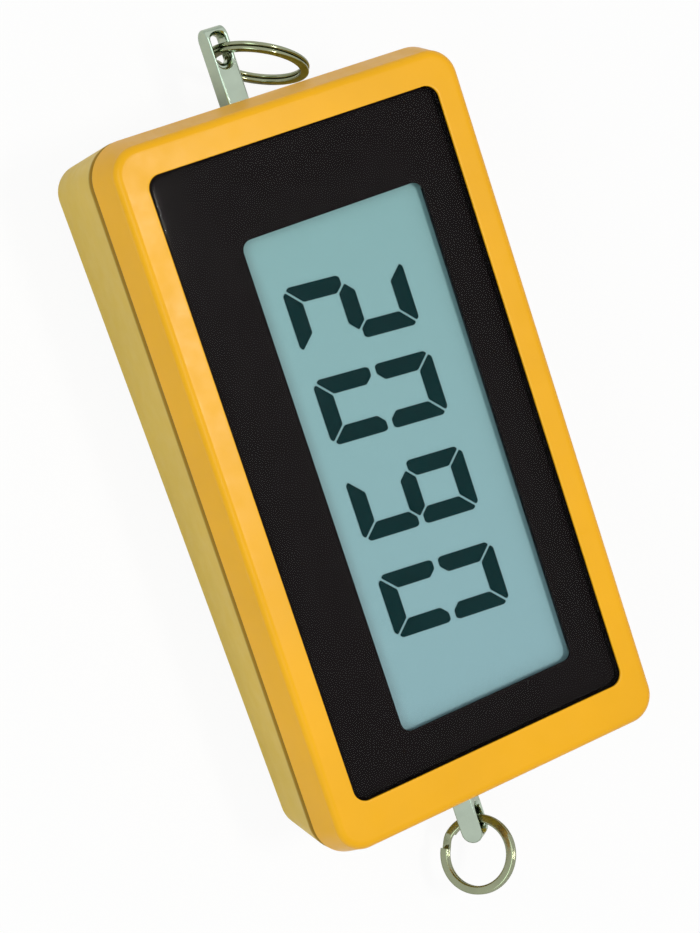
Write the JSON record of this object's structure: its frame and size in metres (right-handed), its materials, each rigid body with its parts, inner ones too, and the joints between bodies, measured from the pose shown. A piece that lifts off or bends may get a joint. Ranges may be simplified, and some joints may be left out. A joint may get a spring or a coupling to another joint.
{
  "type": "stringing machine tension calibrator",
  "caption": "Pocket in-line pull gauge with a digital display, a wedge-shaped two-shell case, and a swivel eye with a split ring at each end",
  "frame": {"origin": "centre of the flat rear face that the gauge lies on", "axes": "+X to the display's right, +Y along the case towards the upper eye, +Z out of the rear face into the case. The front face leans by 3.7 degrees, because the case is deeper at the upper eye's end."},
  "size_m": [0.0547, 0.13, 0.028],
  "materials": {
    "front_plastic": "satin yellow ABS moulding",
    "rear_plastic": "satin yellow ABS moulding",
    "lens_clear": "clear acrylic, polished",
    "mask_black": "black print on film",
    "display_glass": "display glass",
    "reflector_grey": "grey-green reflector film",
    "holder_white": "white moulding",
    "strip_rubber": "striped elastomer",
    "board_green": "green solder mask",
    "dark_plastic": "black moulding",
    "chrome_plate": "polished chromium plate",
    "steel": "zinc-plated steel",
    "cell_aluminium": "machined",
    "gauge_foil": "copper-coloured foil",
    "lead_white": "wire insulation",
    "lead_red": "wire insulation"
  },
  "bodies": {
    "case": {"front_shell": "front_plastic", "rear_shell": "rear_plastic", "display_lens": "lens_clear", "lens_mask": "mask_black", "display_front_glass": "display_glass", "display_rear_glass": "display_glass", "display_reflector": "reflector_grey", "display_holder": "holder_white", "contact_strip_left": "strip_rubber", "contact_strip_right": "strip_rubber", "main_board": "board_green", "controller_cap": "dark_plastic", "amplifier_chip": "dark_plastic", "crystal": "steel", "capacitor": "dark_plastic", "side_switch_1": "dark_plastic", "side_switch_2": "dark_plastic", "load_cell": "cell_aluminium", "strain_gauge_upper_left": "gauge_foil", "strain_gauge_upper_right": "gauge_foil", "strain_gauge_lower_left": "gauge_foil", "strain_gauge_lower_right": "gauge_foil", "gauge_lead": "lead_white", "upper_bush": "dark_plastic", "lower_bush": "dark_plastic", "coin_battery": "steel", "battery_contact_negative": "steel", "battery_contact_positive": "gauge_foil", "battery_lead_negative": "dark_plastic", "battery_lead_positive": "lead_red", "case_screw_1": "steel", "board_screw_1": "steel", "case_screw_2": "steel", "board_screw_2": "steel", "case_screw_3": "steel", "board_screw_3": "steel", "case_screw_4": "steel", "board_screw_4": "steel", "cell_screw_1": "steel", "cell_screw_2": "steel"},
    "upper_swivel": {"upper_eye": "chrome_plate", "upper_washer": "steel", "upper_nut": "steel"},
    "upper_ring": {"upper_ring": "chrome_plate"},
    "lower_swivel": {"lower_eye": "chrome_plate", "lower_washer": "steel", "lower_nut": "steel"},
    "lower_ring": {"lower_ring": "chrome_plate"},
    "push_button_1": {"push_button_1": "dark_plastic"},
    "push_button_2": {"push_button_2": "dark_plastic"},
    "battery_cover": {"battery_cover": "dark_plastic"}
  },
  "joints": [
    {"name": "upper_swivel", "type": "hinge", "parent": "case", "child": "upper_swivel", "pos_m": [0, 0.04991, 0.01066], "axis": [0, 0.9979, 0.0649], "continuous": true},
    {"name": "upper_ring_hinge", "type": "hinge", "parent": "upper_swivel", "child": "upper_ring", "pos_m": [0, 0.05789, 0.01118], "axis": [0.1908, -0.029, 0.9812], "range_deg": [0, 150]},
    {"name": "lower_swivel", "type": "hinge", "parent": "case", "child": "lower_swivel", "pos_m": [0, -0.05059, 0.00413], "axis": [0, -0.9979, -0.0649], "continuous": true},
    {"name": "lower_ring_hinge", "type": "hinge", "parent": "lower_swivel", "child": "lower_ring", "pos_m": [0, -0.05857, 0.00361], "axis": [0.7189, -0.0102, 0.695], "range_deg": [-60, 60]},
    {"name": "push_button_1_slide", "type": "slide", "parent": "case", "child": "push_button_1", "axis": [-1, 0, 0], "range_m": [0, 0.0004], "stiffness_N_per_m": 2000},
    {"name": "push_button_2_slide", "type": "slide", "parent": "case", "child": "push_button_2", "axis": [-1, 0, 0], "range_m": [0, 0.0004], "stiffness_N_per_m": 2000},
    {"name": "battery_cover_turn", "type": "hinge", "parent": "case", "child": "battery_cover", "pos_m": [0.013, -0.03, 0], "axis": [0, 0, -1], "range_deg": [0, 35]}
  ]
}
